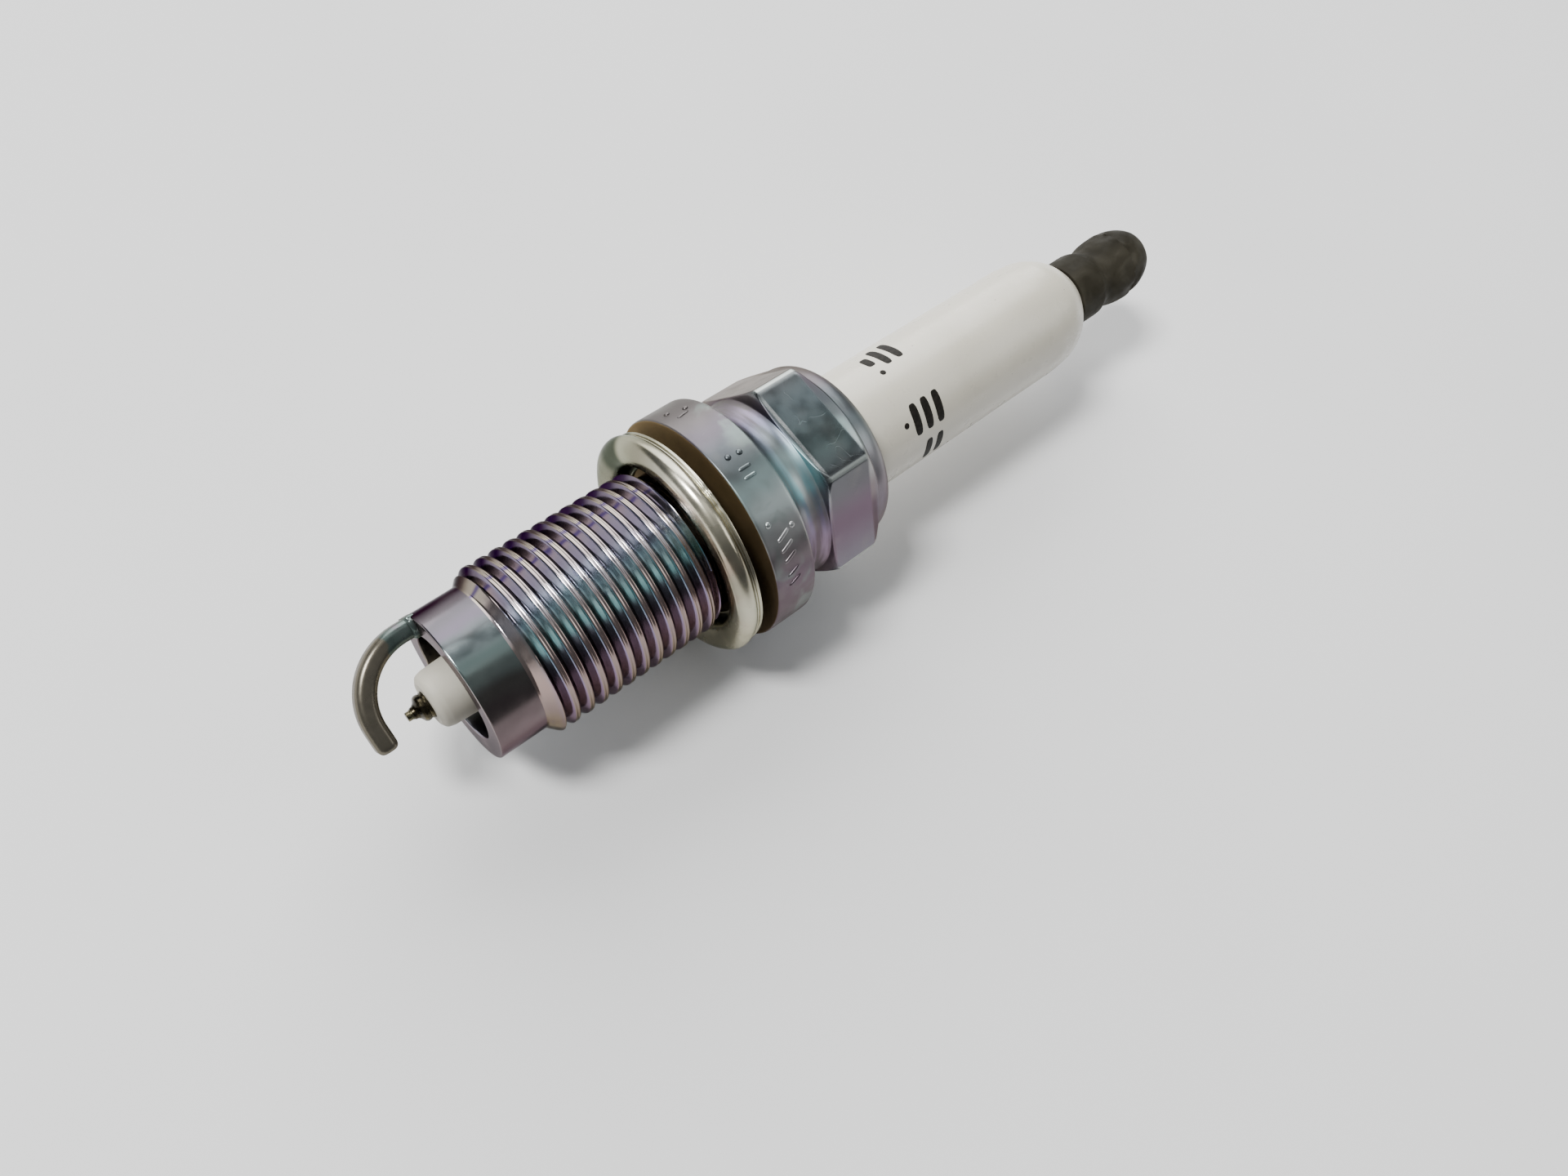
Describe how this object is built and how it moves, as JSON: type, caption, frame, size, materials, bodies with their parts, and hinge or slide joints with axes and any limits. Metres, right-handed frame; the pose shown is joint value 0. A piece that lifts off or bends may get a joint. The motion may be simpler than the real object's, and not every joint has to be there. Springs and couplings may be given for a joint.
{
  "type": "spark plug",
  "caption": "Spark plug with M14 thread, extended plain nose, hexagon shell, captive folded gasket, bare ceramic insulator, fine-wire electrode and screw-on terminal nut.",
  "frame": {"origin": "on the plug's axis, in the plane of the shell's gasket seat", "axes": "+X along the axis towards the firing end, -X towards the terminal, +Z square to one pair of hexagon flats"},
  "size_m": [0.0839, 0.0194, 0.0196],
  "materials": {
    "shell_plating": "zinc plated with an iridescent passivated film",
    "electrode_nickel": "drawn nickel alloy, satin",
    "electrode_dark": "nickel alloy, dark oxide",
    "copper": "copper core",
    "iridium": "iridium alloy wire",
    "insulator_glaze": "white alumina, satin glaze on the bare part",
    "packing_steel": "soft steel",
    "talc": "pressed powder",
    "glass_seal": "opaque conductive glass",
    "resistor_body": "carbon and glass, matt",
    "stud_steel": "nickel plated steel",
    "terminal_steel": "dark gunmetal",
    "gasket_steel": "bright plated folded sheet steel"
  },
  "bodies": {
    "plug": {"metal_shell": "shell_plating", "ground_electrode": "electrode_nickel", "insulator": "insulator_glaze", "center_electrode": "electrode_dark", "copper_core": "copper", "iridium_tip": "iridium", "lower_glass_seal": "glass_seal", "resistor": "resistor_body", "upper_glass_seal": "glass_seal", "terminal_stud": "stud_steel", "seat_packing": "packing_steel", "lower_packing_ring": "packing_steel", "upper_packing_ring": "packing_steel", "talc_filler": "talc"},
    "gasket": {"gasket": "gasket_steel"},
    "terminal_nut": {"terminal_nut": "terminal_steel"}
  },
  "joints": [
    {"name": "gasket_play", "type": "slide", "parent": "plug", "child": "gasket", "axis": [-1, 0, 0], "range_m": [-0.0013, 0.00122]},
    {"name": "terminal_nut_travel", "type": "slide", "parent": "plug", "child": "terminal_nut", "axis": [-1, 0, 0], "range_m": [0, 0.012]}
  ]
}
